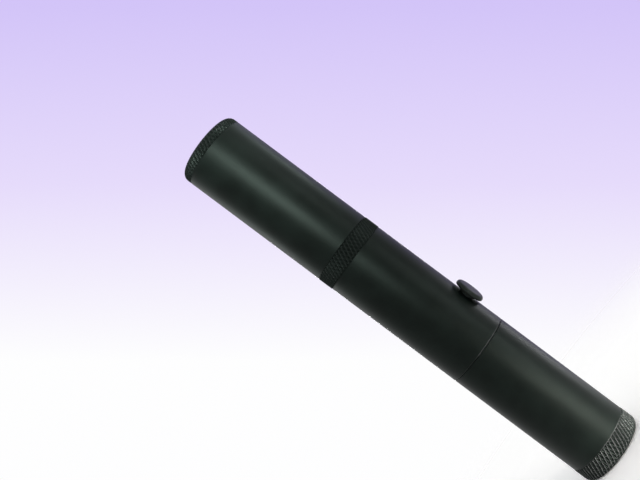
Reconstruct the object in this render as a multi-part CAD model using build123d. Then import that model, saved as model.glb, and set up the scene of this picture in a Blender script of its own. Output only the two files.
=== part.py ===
from build123d import *

import os
from math import cos, pi, sin, sqrt

# A hand-held laser pointer in millimetres, standing on its tail cap.
# Origin: centre of the tail cap's flat end. +Z runs up the tube to the beam exit, +X through the button.
# A name that ends in z is a height above the tail cap's end, and one in x a distance from the tube's axis.

# The cell and the bay that sizes the tube
cell_diameter = 16.8
cell_length = 34.2
cell_edge = 0.6
nub_radius = 3.0
nub_height = 1.2
cell_clearance = 0.3
bay_wall = 2.3
cell_lift = 1.1
nub_room = 1.0
bay_shoulder = 1.1

# The outside lengths
tail_cap_length = 5.9
centre_ring_length = 4.7
front_barrel_length = 45.5
bezel_length = 3.2
tail_corner_radius = 2.0
front_corner_radius = 2.0
seam_chamfer = 0.25
body_wall = 2.1

# The diamond knurl of the three rings
knurl_pitch = 1.2
knurl_row_height = 1.15
knurl_depth = 0.32
knurl_rise = 0.1
bezel_knurl_rise = 0.0

# The screwed joints, drawn as plain fits
thread_wall = 1.65
thread_length = 5.0
thread_clearance = 0.05
thread_runout = 0.6
spigot_chamfer = 0.4

# The coil springs' drawing
wire_sides = 6
coil_steps = 12

# The tail cap's contact, spring and seal
tail_wall = 2.0
tail_recess_radius = 7.0
contact_disc_thickness = 0.5
contact_disc_clearance = 0.1
tail_wire = 0.8
tail_spring_top_radius = 2.8
tail_spring_turns = 4
seal_section = 0.9
seal_groove_width = 1.3
seal_play = 0.03
seal_sides = 6

# The front contact
sleeve_neck_radius = 6.4
sleeve_flange_radius = 7.5
sleeve_flange_height = 3.0
sleeve_bore_radius = 3.4
positive_wire = 0.5
positive_spring_radius = 2.4
positive_spring_turns = 4
contact_board_thickness = 1.2
seat_clearance = 0.05

# The push button and its switch
button_radius = 4.5
button_thickness = 1.75
button_edge_radius = 0.8
button_crown = 0.4
button_underside = 0.3
button_gap = 0.65
button_travel = 0.5
stem_radius = 2.4
stem_clearance = 0.05
clip_radius = 3.8
clip_thickness = 0.5
clip_groove_depth = 0.5
clip_groove_play = 0.03
clip_mouth = 3.4
clip_gap = 0.1
switch_side = 6.0
switch_case_height = 3.2
switch_cover_thickness = 0.3
switch_tab_width = 2.0
plunger_radius = 1.75
plunger_stand = 1.0
plunger_collar_radius = 2.2
plunger_collar_height = 0.8
plunger_clearance = 0.05

# The driver board and what stands on it
board_thickness = 1.2
board_width = 14.0
board_face = -1.2
board_top_gap = 5.45
switch_margin = 2.65
board_corner_radius = 0.6
chip_length = 4.9
chip_width = 3.9
chip_height = 1.5
chip_leg_width = 0.45
chip_leg_pitch = 1.27
chip_leg_reach = 1.05
chip_leg_thickness = 0.2
chip_gap = 0.2
trimmer_side = 3.2
trimmer_height = 1.8
trimmer_dial_radius = 1.2
trimmer_slot = 0.4
trimmer_side_step = 4.9
resistor_size = (0.45, 0.8, 1.6)
resistor_count = 4
resistor_pitch = 2.2
capacitor_size = (1.3, 1.6, 3.2)
capacitor_count = 2
capacitor_pitch = 4.0
parts_above_button = 5.0

# The pump diode and the block that seats it
can_flange_radius = 4.5
can_flange_thickness = 1.5
can_cap_radius = 3.0
can_cap_height = 3.2
can_cap_edge = 0.4
pin_radius = 0.225
pin_circle_radius = 1.27
pin_overlap = 1.5
short_pin_length = 3.0
holder_length = 8.0
holder_rear_depth = 3.0

# The laser module
spigot_wall = 1.35
module_wall = 1.05
module_behind_ring = 16.0
module_ahead_of_ring = 15.3
module_flange_thickness = 2.0
module_flange_clearance = 0.1
module_web = 1.5
module_web_hole_radius = 2.5
optics_bore_radius = 5.5
crystal_side = 2.0
crystal_clearance = 0.04
laser_crystal_length = 1.0
doubling_crystal_length = 2.5
crystal_holder_length = 4.0
filter_radius = 3.0
filter_thickness = 1.0
expander_thickness = 2.0
expander_hollow_radius = 5.0
expander_hollow_reach = 2.4
retainer_length = 8.0
retainer_bore_radius = 2.0
glass_clearance = 0.05

# The set focus stage
lens_tube_spigot = 4.0
lens_tube_bore_radius = 4.0
lens_tube_front_gap = 1.2
lens_tube_step = 10.0
lens_tube_wall = 1.35
lens_cell_length = 8.0
lens_cell_recess = 4.0
lens_cell_wall = 1.45
lens_seat_lip = 0.7
lens_edge = 1.2
lens_crown = 1.1
lens_retainer_length = 1.2
lens_retainer_wall = 0.8
cell_spring_wire = 0.6
cell_spring_turns = 3

# The front window
aperture_radius = 4.0
aperture_chamfer = 0.4
front_lip = 1.5
window_radius = 6.5
window_thickness = 1.0
window_retainer_length = 2.0
window_retainer_bore_radius = 5.0
spanner_slot = 1.0

# Sizes that follow from those
bay_radius = cell_diameter / 2 + cell_clearance
tube_radius = bay_radius + bay_wall
body_bore_radius = tube_radius - body_wall
thread_bore_radius = tube_radius - thread_wall
spigot_radius = thread_bore_radius - thread_clearance
module_radius = spigot_radius - spigot_wall - seat_clearance
holder_radius = module_radius - module_wall - seat_clearance
lens_cell_radius = module_radius - lens_tube_wall - seat_clearance
lens_radius = lens_cell_radius - lens_cell_wall - glass_clearance
lens_cell_bore_radius = lens_radius - lens_seat_lip
lens_retainer_bore_radius = lens_radius - lens_retainer_wall
battery_tube_length = thread_length + cell_lift + cell_length + nub_room + bay_shoulder
switch_reach = switch_side / 2 + switch_cover_thickness
board_length = switch_margin + 2 * switch_reach + chip_length + 2 * chip_gap + pin_overlap
board_stack = contact_board_thickness + board_length + board_top_gap
switch_body_length = thread_length + board_stack + module_behind_ring

battery_tube_z = tail_cap_length
switch_body_z = battery_tube_z + battery_tube_length
centre_ring_z = switch_body_z + switch_body_length
front_barrel_z = centre_ring_z + centre_ring_length
bezel_z = front_barrel_z + front_barrel_length
front_z = bezel_z + bezel_length

cell_z = battery_tube_z + thread_length + cell_lift
nub_z = cell_z + cell_length
bay_top_z = switch_body_z - bay_shoulder
contact_board_z = switch_body_z + thread_length
driver_board_z = contact_board_z + contact_board_thickness

board_top_z = driver_board_z + board_length
pin_tip_z = board_top_z - pin_overlap
button_z = driver_board_z + switch_margin + switch_reach
chip_z = button_z + switch_reach + chip_gap + chip_length / 2
switch_top_x = board_face + switch_case_height + switch_cover_thickness
plunger_top_x = switch_top_x + plunger_stand
head_x = tube_radius + button_gap
clip_top_x = sqrt(body_bore_radius**2 - clip_radius**2) - clip_gap
stem_hole_radius = stem_radius + stem_clearance

module_z = centre_ring_z - module_behind_ring
module_bore_radius = module_radius + seat_clearance
module_front_z = front_barrel_z + module_ahead_of_ring
module_flange_z = front_barrel_z + thread_length
holder_z = module_z + seat_clearance
holder_front_z = holder_z + holder_length
web_front_z = holder_front_z + module_web
crystal_front_z = web_front_z + crystal_holder_length
retainer_front_z = crystal_front_z + retainer_length

lens_tube_front_z = bezel_z - thread_length - lens_tube_front_gap
lens_cell_bore = lens_cell_radius + seat_clearance
lens_cell_front_z = lens_tube_front_z - lens_cell_recess
lens_cell_z = lens_cell_front_z - lens_cell_length
lens_step_z = module_front_z + lens_tube_step / 2
window_back_z = front_z - front_lip - window_thickness


def turned(*outline):
    """A solid turned about the tube's axis from (radius, z) corners."""
    return revolve(Plane.XZ * make_face(Polyline(*outline, close=True)), Axis.Z)


def turned_ring(inner, outer, low, high):
    """A plain ring about the tube's axis."""
    return turned((inner, low), (outer, low), (outer, high), (inner, high))


def across(solid, height):
    """Lays a solid that was drawn along +Z on the button's axis, at a height up the tube."""
    return Pos(0, 0, height) * Rot(0, 90, 0) * solid


def skin(rings):
    """A closed solid through rings of points, each quad split along its even diagonal."""

    def flat(*corners):
        return Face(Wire.make_polygon(corners, close=True))

    faces = [flat(*rings[0][::-1]), flat(*rings[-1])]
    for row, (below, above) in enumerate(zip(rings, rings[1:])):
        for step in range(len(below)):
            onward = (step + 1) % len(below)
            a, b, c, d = below[step], below[onward], above[onward], above[step]
            if (row + step) % 2 == 0:
                faces += [flat(a, b, c), flat(a, c, d)]
            else:
                faces += [flat(a, b, d), flat(b, c, d)]
    return Solid(Shell(faces))


def coil(base_radius, top_radius, low, high, turns, wire):
    """A coil spring between two heights, straight or conical, of many-sided wire."""
    corners = [Vector(wire / 2, 0).rotate(Axis.Z, 360 * side / wire_sides) for side in range(wire_sides)]
    rings = []
    for step in range(turns * coil_steps + 1):
        share = step / (turns * coil_steps)
        turn = 2 * pi * step / coil_steps
        radius = base_radius + (top_radius - base_radius) * share
        height = low + wire / 2 + (high - low - wire) * share
        rings.append(
            [
                Vector((radius + corner.X) * cos(turn), (radius + corner.X) * sin(turn), height - corner.Y)
                for corner in corners
            ]
        )
    return skin(rings)


def knurl_profile(length, low_corner, high_corner):
    """Rows (radius, z, is_full) of a knurl that runs along a ring and round its rounded corners."""
    rows = []
    if low_corner:
        steps = max(1, round(low_corner * pi / 2 / knurl_row_height))
        for step in range(steps):
            turn = pi / 2 * step / steps
            rows.append((low_corner * (sin(turn) - 1), low_corner * (1 - cos(turn)), step > 0))
    straight = length - low_corner - high_corner
    steps = max(1, round(straight / knurl_row_height))
    for step in range(steps + 1):
        rows.append((0, low_corner + straight * step / steps, True))
    if high_corner:
        steps = max(1, round(high_corner * pi / 2 / knurl_row_height))
        for step in range(1, steps + 1):
            turn = pi / 2 * step / steps
            rows.append((high_corner * (cos(turn) - 1), length - high_corner * (1 - sin(turn)), step < steps))
    return rows


def knurled_blank(low, length, low_corner, high_corner, rise):
    """A solid disc whose rim is a net of pyramids between left-hand and right-hand grooves."""
    count = round(2 * pi * tube_radius / knurl_pitch)
    crest = tube_radius + rise
    rings = []
    for row, (inset, height, is_full) in enumerate(knurl_profile(length, low_corner, high_corner)):
        ring = []
        for step in range(2 * count):
            groove = knurl_depth if is_full and (row + step) % 2 == 0 else 0
            radius, angle = crest + inset - groove, pi * step / count
            ring.append(Vector(radius * cos(angle), radius * sin(angle), low + height))
        rings.append(ring)
    return skin(rings)


def male_spigot(inner, root_z, tip_z):
    """A spigot from a shoulder to its chamfered tip, up or down the tube."""
    tip = spigot_chamfer if tip_z > root_z else -spigot_chamfer
    return turned(
        (inner, root_z),
        (spigot_radius, root_z),
        (spigot_radius, tip_z - tip),
        (spigot_radius - spigot_chamfer, tip_z),
        (inner, tip_z),
    )


def tail_cap():
    blank = knurled_blank(0, tail_cap_length, tail_corner_radius, 0, knurl_rise)
    spigot = male_spigot(0, tail_cap_length, battery_tube_z + thread_length)
    recess = turned_ring(0, tail_recess_radius, tail_wall, battery_tube_z + thread_length)
    groove = turned_ring(
        thread_bore_radius - seal_section - 2 * seal_play,
        tube_radius,
        tail_cap_length + seam_chamfer,
        tail_cap_length + seam_chamfer + seal_groove_width,
    )
    return blank + (spigot - groove) - recess


def tail_o_ring():
    centre_z = tail_cap_length + seam_chamfer + seal_groove_width / 2
    section = RegularPolygon(seal_section / 2, seal_sides)
    centre_radius = thread_bore_radius - seal_play - seal_section / 2
    return revolve(Plane.XZ * Pos(centre_radius, centre_z) * section, Axis.Z)


def tail_contact_disc():
    disc_radius = tail_recess_radius - contact_disc_clearance
    return turned_ring(0, disc_radius, tail_wall, tail_wall + contact_disc_thickness)


def tail_spring():
    foot_radius = tail_recess_radius - contact_disc_clearance - tail_wire
    return coil(
        foot_radius,
        tail_spring_top_radius,
        tail_wall + contact_disc_thickness,
        cell_z,
        tail_spring_turns,
        tail_wire,
    )


def battery_cell():
    can = Pos(0, 0, cell_z) * Cylinder(
        cell_diameter / 2, cell_length - nub_height, align=(Align.CENTER, Align.CENTER, Align.MIN)
    )
    can = chamfer(can.edges().filter_by(GeomType.CIRCLE), cell_edge)
    return can + turned_ring(0, nub_radius, nub_z - 2 * nub_height, nub_z)


def battery_tube():
    thread_top = battery_tube_z + thread_length + thread_runout
    counterbore_z = contact_board_z - sleeve_flange_height
    outside = [
        (thread_bore_radius, battery_tube_z),
        (tube_radius - seam_chamfer, battery_tube_z),
        (tube_radius, battery_tube_z + seam_chamfer),
        (tube_radius, switch_body_z - seam_chamfer),
        (tube_radius - seam_chamfer, switch_body_z),
        (spigot_radius, switch_body_z),
        (spigot_radius, contact_board_z - spigot_chamfer),
        (spigot_radius - spigot_chamfer, contact_board_z),
    ]
    inside = [
        (sleeve_flange_radius + seat_clearance, contact_board_z),
        (sleeve_flange_radius + seat_clearance, counterbore_z),
        (sleeve_neck_radius + seat_clearance, counterbore_z),
        (sleeve_neck_radius + seat_clearance, bay_top_z),
        (bay_radius, bay_top_z),
        (bay_radius, thread_top),
        (thread_bore_radius, thread_top),
    ]
    return turned(*outside, *inside)


def contact_sleeve():
    flange_z = contact_board_z - sleeve_flange_height
    return turned(
        (sleeve_bore_radius, bay_top_z),
        (sleeve_neck_radius, bay_top_z),
        (sleeve_neck_radius, flange_z),
        (sleeve_flange_radius, flange_z),
        (sleeve_flange_radius, contact_board_z),
        (sleeve_bore_radius, contact_board_z),
    )


def positive_spring():
    return coil(
        positive_spring_radius,
        positive_spring_radius,
        nub_z,
        contact_board_z,
        positive_spring_turns,
        positive_wire,
    )


def contact_board():
    return turned_ring(0, spigot_radius, contact_board_z, driver_board_z)


def stem_hole():
    """The drilled way of the button's stem through one wall of the tube."""
    return Pos(0, 0, button_z) * Rot(0, 90, 0) * Cylinder(
        stem_hole_radius, 2 * tube_radius, align=(Align.CENTER, Align.CENTER, Align.MIN)
    )


def switch_body():
    ring_thread_z = centre_ring_z - thread_length - thread_runout
    tube = turned(
        (thread_bore_radius, switch_body_z),
        (tube_radius - seam_chamfer, switch_body_z),
        (tube_radius, switch_body_z + seam_chamfer),
        (tube_radius, centre_ring_z - seam_chamfer),
        (tube_radius - seam_chamfer, centre_ring_z),
        (thread_bore_radius, centre_ring_z),
        (thread_bore_radius, ring_thread_z),
        (body_bore_radius, ring_thread_z),
        (body_bore_radius, driver_board_z),
        (thread_bore_radius, driver_board_z),
    )
    return tube - stem_hole()


def push_button():
    stem_length = head_x - plunger_top_x
    groove_low = clip_top_x - clip_thickness - clip_groove_play
    crown_radius = (button_radius**2 + button_crown**2) / (2 * button_crown)
    crown_drop = crown_radius - sqrt(crown_radius**2 - button_radius**2 / 4)
    rim_z = head_x + button_thickness - button_crown
    crown = ThreePointArc(
        (button_radius, rim_z),
        (button_radius / 2, head_x + button_thickness - crown_drop),
        (0, head_x + button_thickness),
    )
    sides = Polyline(
        (0, head_x + button_thickness),
        (0, head_x),
        (button_radius - button_underside, head_x),
        (button_radius, head_x + button_underside),
        (button_radius, rim_z),
    )
    profile = make_face(crown + sides)
    rim_corner = profile.vertices().group_by(Axis.X)[-1].sort_by(Axis.Y)[-1]
    head = revolve(Plane.XZ * fillet(rim_corner, button_edge_radius), Axis.Z)
    stem = Pos(0, 0, plunger_top_x) * Cylinder(
        stem_radius, stem_length + button_thickness / 2, align=(Align.CENTER, Align.CENTER, Align.MIN)
    )
    groove = turned_ring(
        stem_radius - clip_groove_depth, 2 * stem_radius, groove_low, clip_top_x + clip_groove_play
    )
    return across(head + stem - groove, button_z)


def button_clip():
    grip = stem_radius - clip_groove_depth + clip_groove_play
    ring = turned_ring(grip, clip_radius, clip_top_x - clip_thickness, clip_top_x)
    mouth = Pos(-clip_radius, 0, clip_top_x) * Box(2 * clip_radius, clip_mouth, 4 * clip_thickness)
    return across(ring - mouth, button_z)


def switch_case():
    base = Pos(0, 0, board_face) * Box(
        switch_side, switch_side, switch_case_height, align=(Align.CENTER, Align.CENTER, Align.MIN)
    )
    well_z = board_face + switch_case_height - plunger_collar_height - 2 * button_travel
    well = turned_ring(0, plunger_collar_radius + plunger_clearance, well_z, board_face + switch_case_height)
    return across(base - well, button_z)


def switch_cover():
    sheet = Pos(0, 0, board_face + switch_case_height) * Box(
        switch_side + 2 * switch_cover_thickness,
        switch_side,
        switch_cover_thickness,
        align=(Align.CENTER, Align.CENTER, Align.MIN),
    )
    for side in (-1, 1):
        sheet += Pos(side * (switch_side + switch_cover_thickness) / 2, 0, board_face) * Box(
            switch_cover_thickness,
            switch_tab_width,
            switch_case_height + switch_cover_thickness,
            align=(Align.CENTER, Align.CENTER, Align.MIN),
        )
    hole = turned_ring(0, plunger_radius + plunger_clearance, board_face, switch_top_x)
    return across(sheet - hole, button_z)


def switch_plunger():
    collar_top = board_face + switch_case_height
    return across(
        turned_ring(0, plunger_radius, collar_top - plunger_collar_height, plunger_top_x)
        + turned_ring(0, plunger_collar_radius, collar_top - plunger_collar_height, collar_top),
        button_z,
    )


def driver_board():
    board = Pos(board_face, 0, driver_board_z) * Box(
        board_thickness, board_width, board_length, align=(Align.MAX, Align.CENTER, Align.MIN)
    )
    top_corners = board.edges().filter_by(Axis.X).group_by(Axis.Z)[-1]
    return fillet(top_corners, board_corner_radius)


def driver_ic():
    package = Pos(board_face + chip_leg_thickness, 0, chip_z) * Box(
        chip_height, chip_width, chip_length, align=(Align.MIN, Align.CENTER, Align.CENTER)
    )
    knee = chip_height / 2
    for side in (-1, 1):
        for place in range(4):
            leg_z = chip_z + (place - 1.5) * chip_leg_pitch
            shoulder = Pos(board_face + knee, side * chip_width / 2, leg_z) * Box(
                chip_leg_thickness, chip_leg_reach, chip_leg_width
            )
            drop = Pos(board_face, side * (chip_width + chip_leg_reach) / 2, leg_z) * Box(
                knee + chip_leg_thickness / 2,
                chip_leg_thickness,
                chip_leg_width,
                align=(Align.MIN, Align.CENTER, Align.CENTER),
            )
            package += shoulder + drop
    return package


def current_trimmer():
    block = Pos(board_face, trimmer_side_step, chip_z) * Box(
        trimmer_height, trimmer_side, trimmer_side, align=(Align.MIN, Align.CENTER, Align.CENTER)
    )
    face = Pos(board_face + trimmer_height, trimmer_side_step, chip_z) * Rot(0, 90, 0)
    dial = face * Cylinder(trimmer_dial_radius, trimmer_slot, align=(Align.CENTER, Align.CENTER, Align.MIN))
    slot = face * Box(2 * trimmer_dial_radius, trimmer_slot, 2 * trimmer_slot)
    return block + dial - slot


def chip_row(size, count, pitch, side_step):
    """Like chips in a row up the back of the driver board."""
    back = board_face - board_thickness
    first = button_z + parts_above_button - pitch * (count - 1) / 2
    return Compound(
        [
            Pos(back, side_step, first + pitch * place)
            * Box(*size, align=(Align.MAX, Align.CENTER, Align.CENTER))
            for place in range(count)
        ]
    )


def chip_resistors():
    return chip_row(resistor_size, resistor_count, resistor_pitch, -board_width / 4)


def chip_capacitors():
    return chip_row(capacitor_size, capacitor_count, capacitor_pitch, board_width / 4)


def pump_diode():
    shoulder_z = holder_z + holder_rear_depth
    flange_z = shoulder_z - can_flange_thickness
    can = turned_ring(0, can_flange_radius, flange_z, shoulder_z)
    cap = turned(
        (0, shoulder_z),
        (can_cap_radius, shoulder_z),
        (can_cap_radius, shoulder_z + can_cap_height - can_cap_edge),
        (can_cap_radius - can_cap_edge, shoulder_z + can_cap_height),
        (0, shoulder_z + can_cap_height),
    )
    can += cap
    pin_x = board_face + pin_radius
    pin_y = sqrt(pin_circle_radius**2 - pin_x**2)
    ends = [(pin_x, -pin_y, pin_tip_z), (pin_x, pin_y, pin_tip_z)]
    ends.append((pin_circle_radius, 0, flange_z - short_pin_length))
    for x, y, tip_z in ends:
        can += Pos(x, y, tip_z) * Cylinder(
            pin_radius, flange_z - tip_z, align=(Align.CENTER, Align.CENTER, Align.MIN)
        )
    return can


def diode_holder():
    shoulder_z = holder_z + holder_rear_depth
    return turned(
        (can_flange_radius + seat_clearance, holder_z),
        (holder_radius, holder_z),
        (holder_radius, holder_front_z),
        (can_cap_radius + seat_clearance, holder_front_z),
        (can_cap_radius + seat_clearance, shoulder_z),
        (can_flange_radius + seat_clearance, shoulder_z),
    )


def module_barrel():
    flange_radius = body_bore_radius - module_flange_clearance
    optics_bore = optics_bore_radius + seat_clearance
    return turned(
        (holder_radius + seat_clearance, module_z),
        (module_radius, module_z),
        (module_radius, module_flange_z),
        (flange_radius, module_flange_z),
        (flange_radius, module_flange_z + module_flange_thickness),
        (module_radius, module_flange_z + module_flange_thickness),
        (module_radius, module_front_z),
        (optics_bore, module_front_z),
        (optics_bore, web_front_z),
        (module_web_hole_radius, web_front_z),
        (module_web_hole_radius, holder_front_z),
        (holder_radius + seat_clearance, holder_front_z),
    )


def crystal_bar(side, low, high):
    return Pos(0, 0, low) * Box(side, side, high - low, align=(Align.CENTER, Align.CENTER, Align.MIN))


def crystal_holder():
    disc = turned_ring(0, optics_bore_radius, web_front_z, crystal_front_z)
    return disc - crystal_bar(crystal_side + 2 * crystal_clearance, web_front_z, crystal_front_z)


def laser_crystal():
    front = crystal_front_z - doubling_crystal_length
    return crystal_bar(crystal_side, front - laser_crystal_length, front)


def doubling_crystal():
    return crystal_bar(crystal_side, crystal_front_z - doubling_crystal_length, crystal_front_z)


def optics_retainer():
    pocket = filter_radius + glass_clearance
    filter_z = crystal_front_z + filter_thickness + glass_clearance
    expander_z = retainer_front_z - expander_thickness
    return turned(
        (pocket, crystal_front_z),
        (optics_bore_radius, crystal_front_z),
        (optics_bore_radius, retainer_front_z),
        (pocket, retainer_front_z),
        (pocket, expander_z),
        (retainer_bore_radius, expander_z),
        (retainer_bore_radius, filter_z),
        (pocket, filter_z),
    )


def infrared_filter():
    low = crystal_front_z + glass_clearance
    return turned_ring(0, filter_radius, low, low + filter_thickness)


def expander_lens():
    low = retainer_front_z - expander_thickness
    depth = expander_hollow_radius - sqrt(expander_hollow_radius**2 - expander_hollow_reach**2)
    blank = turned_ring(0, filter_radius, low, retainer_front_z)
    hollow_z = retainer_front_z + expander_hollow_radius - depth
    return blank - Pos(0, 0, hollow_z) * Sphere(expander_hollow_radius)


def lens_tube():
    spigot_z = module_front_z - lens_tube_spigot
    return turned(
        (lens_tube_bore_radius, spigot_z),
        (optics_bore_radius, spigot_z),
        (optics_bore_radius, module_front_z),
        (module_radius, module_front_z),
        (module_radius, lens_tube_front_z),
        (lens_cell_bore, lens_tube_front_z),
        (lens_cell_bore, lens_step_z),
        (lens_tube_bore_radius, lens_step_z),
    )


def lens_cell_spring():
    middle = (lens_tube_bore_radius + lens_cell_radius) / 2
    return coil(middle, middle, lens_step_z, lens_cell_z, cell_spring_turns, cell_spring_wire)


def lens_cell():
    pocket_z = lens_cell_front_z - lens_retainer_length - lens_edge - lens_crown
    pocket = lens_radius + glass_clearance
    ring = turned(
        (lens_cell_bore_radius, lens_cell_z),
        (lens_cell_radius, lens_cell_z),
        (lens_cell_radius, lens_cell_front_z),
        (pocket, lens_cell_front_z),
        (pocket, pocket_z),
        (lens_cell_bore_radius, pocket_z),
    )
    return ring


def collimating_lens():
    back = lens_cell_front_z - lens_retainer_length - lens_edge - lens_crown
    bulge_radius = (lens_radius**2 + lens_crown**2) / (2 * lens_crown)
    blank = turned_ring(0, lens_radius, back, back + lens_edge + lens_crown)
    return blank & Pos(0, 0, back + lens_edge + lens_crown - bulge_radius) * Sphere(bulge_radius)


def slotted_ring(inner, outer, low, high):
    """A retaining ring with two spanner slots across its front."""
    slot = Pos(0, 0, high) * Box(2 * outer + spanner_slot, spanner_slot, spanner_slot)
    return turned_ring(inner, outer, low, high) - slot


def lens_retainer():
    low = lens_cell_front_z - lens_retainer_length
    return slotted_ring(lens_retainer_bore_radius, lens_radius, low, lens_cell_front_z)


def centre_ring():
    blank = knurled_blank(centre_ring_z, centre_ring_length, 0, 0, knurl_rise)
    low_tip, high_tip = centre_ring_z - thread_length, front_barrel_z + thread_length
    spigots = male_spigot(0, centre_ring_z, low_tip) + male_spigot(0, front_barrel_z, high_tip)
    return blank + spigots - turned_ring(0, module_bore_radius, low_tip, high_tip)


def front_barrel():
    ring_thread_z = front_barrel_z + thread_length
    bezel_thread_z = bezel_z - thread_length - thread_runout
    return turned(
        (thread_bore_radius, front_barrel_z),
        (tube_radius - seam_chamfer, front_barrel_z),
        (tube_radius, front_barrel_z + seam_chamfer),
        (tube_radius, bezel_z - seam_chamfer),
        (tube_radius - seam_chamfer, bezel_z),
        (thread_bore_radius, bezel_z),
        (thread_bore_radius, bezel_thread_z),
        (body_bore_radius, bezel_thread_z),
        (body_bore_radius, ring_thread_z),
        (thread_bore_radius, ring_thread_z),
    )


def front_bezel():
    blank = knurled_blank(bezel_z, bezel_length, 0, front_corner_radius, bezel_knurl_rise)
    spigot_z = bezel_z - thread_length
    lip_z = front_z - front_lip
    way = turned(
        (0, spigot_z),
        (window_radius + glass_clearance, spigot_z),
        (window_radius + glass_clearance, lip_z),
        (aperture_radius, lip_z),
        (aperture_radius, front_z - aperture_chamfer),
        (aperture_radius + aperture_chamfer, front_z),
        (0, front_z),
    )
    return blank + male_spigot(0, bezel_z, spigot_z) - way


def aperture_window():
    return turned_ring(0, window_radius, window_back_z, front_z - front_lip)


def window_retainer():
    low = window_back_z - window_retainer_length
    ring = turned_ring(window_retainer_bore_radius, window_radius, low, window_back_z)
    return ring - Pos(0, 0, low) * Box(3 * window_radius, spanner_slot, spanner_slot)


SUB_PARTS = (
    tail_cap,
    tail_o_ring,
    tail_contact_disc,
    tail_spring,
    battery_cell,
    battery_tube,
    contact_sleeve,
    positive_spring,
    contact_board,
    switch_body,
    push_button,
    button_clip,
    switch_case,
    switch_cover,
    switch_plunger,
    driver_board,
    driver_ic,
    current_trimmer,
    chip_resistors,
    chip_capacitors,
    pump_diode,
    diode_holder,
    module_barrel,
    crystal_holder,
    laser_crystal,
    doubling_crystal,
    infrared_filter,
    expander_lens,
    optics_retainer,
    lens_tube,
    lens_cell_spring,
    lens_cell,
    collimating_lens,
    lens_retainer,
    centre_ring,
    front_barrel,
    front_bezel,
    aperture_window,
    window_retainer,
)

os.makedirs("parts", exist_ok=True)
for make in SUB_PARTS:
    export_step(make(), f"parts/{make.__name__}.step")
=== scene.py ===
"""The visual model of a hand-held laser pointer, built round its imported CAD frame.

Sizes are in millimetres. The pointer stands on its tail cap at the origin, +Z runs up the tube to the
beam exit, and +X points out through the push button. A piece is built in millimetres and brought to
metres when it is finished.
"""

import logging
import math
from dataclasses import dataclass, field
from enum import Enum
from typing import Any, Iterable, NamedTuple, Sequence

import bmesh
import bpy
from mathutils import Matrix, Vector


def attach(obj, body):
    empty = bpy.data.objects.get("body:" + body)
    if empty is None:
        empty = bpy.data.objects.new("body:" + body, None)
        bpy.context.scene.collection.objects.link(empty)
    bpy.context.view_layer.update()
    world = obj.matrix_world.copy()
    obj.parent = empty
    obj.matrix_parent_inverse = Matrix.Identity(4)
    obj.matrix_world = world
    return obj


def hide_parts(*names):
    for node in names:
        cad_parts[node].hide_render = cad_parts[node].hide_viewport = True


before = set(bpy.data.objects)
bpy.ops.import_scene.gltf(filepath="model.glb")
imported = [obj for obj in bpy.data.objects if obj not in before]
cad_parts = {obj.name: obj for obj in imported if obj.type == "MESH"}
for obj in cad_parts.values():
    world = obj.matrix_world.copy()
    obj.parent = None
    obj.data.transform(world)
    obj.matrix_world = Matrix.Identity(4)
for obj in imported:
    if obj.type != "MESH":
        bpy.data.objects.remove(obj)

MM = 0.001
QUARTER_TURN = math.pi / 2
TUBE_STEPS = 128
SMALL_STEPS = 96
SHARP_ANGLE = math.radians(32)
MERGE_GAP = 1e-4
KNURL_CREST = "knurl_crest"
KNURL_SHOULDER = 10.6
WORN_SEAMS = (6.02, 48.44)

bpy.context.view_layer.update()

logger = logging.getLogger("laser_pointer")


class Body(Enum):
    """The four bodies of the frame."""

    TAIL_CAP = "tail_cap"
    CELL = "cell"
    HOUSING = "housing"
    BUTTON = "button"


class Slot(Enum):
    """The record's material slots."""

    BARREL = "anodised_aluminium"
    KNURL = "anodised_knurl"
    BUTTON = "button_black"
    BRASS = "brass"
    COPPER = "copper"
    STEEL = "plated_steel"
    WIRE = "spring_wire"
    RUBBER = "seal_rubber"
    SLEEVE = "cell_sleeve"
    INSULATOR = "insulator"
    BOARD = "circuit_board"
    CHIP = "chip_plastic"
    TRIMMER = "trimmer_blue"
    CERAMIC = "ceramic"
    GLASS = "optical_glass"
    FILTER = "filter_glass"
    CRYSTAL = "crystal"


# Shader graphs


class Signal:
    """A shader socket that takes part in Python arithmetic, with a Math node for each step."""

    def __init__(self, graph: "Graph", socket: bpy.types.NodeSocket) -> None:
        """Wraps an output socket of one of the graph's nodes."""
        self.graph = graph
        self.socket = socket

    def maths(self, operation: str, *terms: "Value") -> "Signal":
        """Adds one Math node."""
        return self.graph.signal("Math", {"operation": operation}, dict(enumerate(terms)))

    def __add__(self, other: "Value") -> "Signal":
        """The sum."""
        return self.maths("ADD", self, other)

    def __radd__(self, other: float) -> "Signal":
        """The sum, with the number first."""
        return self.maths("ADD", other, self)

    def __sub__(self, other: "Value") -> "Signal":
        """The difference."""
        return self.maths("SUBTRACT", self, other)

    def __rsub__(self, other: float) -> "Signal":
        """The difference, with the number first."""
        return self.maths("SUBTRACT", other, self)

    def __mul__(self, other: "Value") -> "Signal":
        """The product."""
        return self.maths("MULTIPLY", self, other)

    def __rmul__(self, other: float) -> "Signal":
        """The product, with the number first."""
        return self.maths("MULTIPLY", other, self)

    def __truediv__(self, other: "Value") -> "Signal":
        """The quotient."""
        return self.maths("DIVIDE", self, other)

    def __pow__(self, power: float) -> "Signal":
        """The value raised to a power."""
        return self.maths("POWER", self, power)

    def __abs__(self) -> "Signal":
        """The value without its sign."""
        return self.maths("ABSOLUTE", self)

    def __or__(self, other: "Value") -> "Signal":
        """The larger of two values, which joins two masks."""
        return self.maths("MAXIMUM", self, other)


Value = Signal | float
Colour = tuple[float, float, float]
Span = tuple[float, float]
Settings = dict[str, Any]
Sockets = dict[str | int, Any]


class Noise(NamedTuple):
    """A noise, by its features per millimetre and its detail."""

    scale: float
    detail: float


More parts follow.
